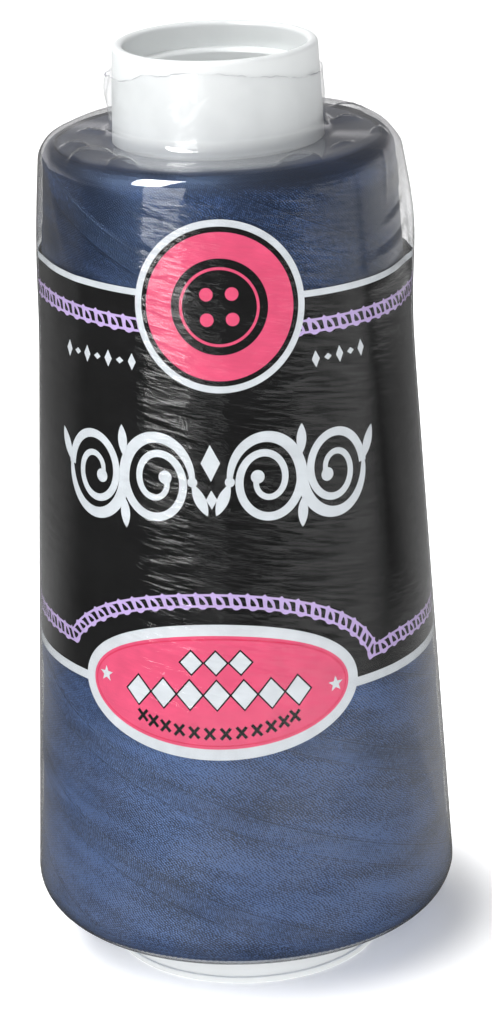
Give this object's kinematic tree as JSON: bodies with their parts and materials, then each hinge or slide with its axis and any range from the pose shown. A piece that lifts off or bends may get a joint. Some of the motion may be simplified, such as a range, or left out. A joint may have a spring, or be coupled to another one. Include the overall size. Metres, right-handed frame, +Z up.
{
  "type": "cone of sewing thread",
  "caption": "Cone of navy sewing thread cross-wound on a tapered white tube, in a clear shrunk label sleeve; it stands on the tube's foot or drops over a spool pin.",
  "frame": {"origin": "centre of the tube's foot, on the surface that the cone stands on", "axes": "+Z up along the tube's axis; -Y is the front, where the label's badge is; +X is to the right"},
  "size_m": [0.0548, 0.0548, 0.12],
  "materials": {
    "core_plastic": "moulded white plastic, soft satin",
    "thread": "navy spun polyester thread, fine cross-wound turns with a low sheen",
    "label_film": "clear glossy shrunk film, printed with an opaque black band, a badge and a plaque"
  },
  "bodies": {
    "root": {"core": "core_plastic", "thread": "thread", "label_sleeve": "label_film"}
  },
  "joints": []
}
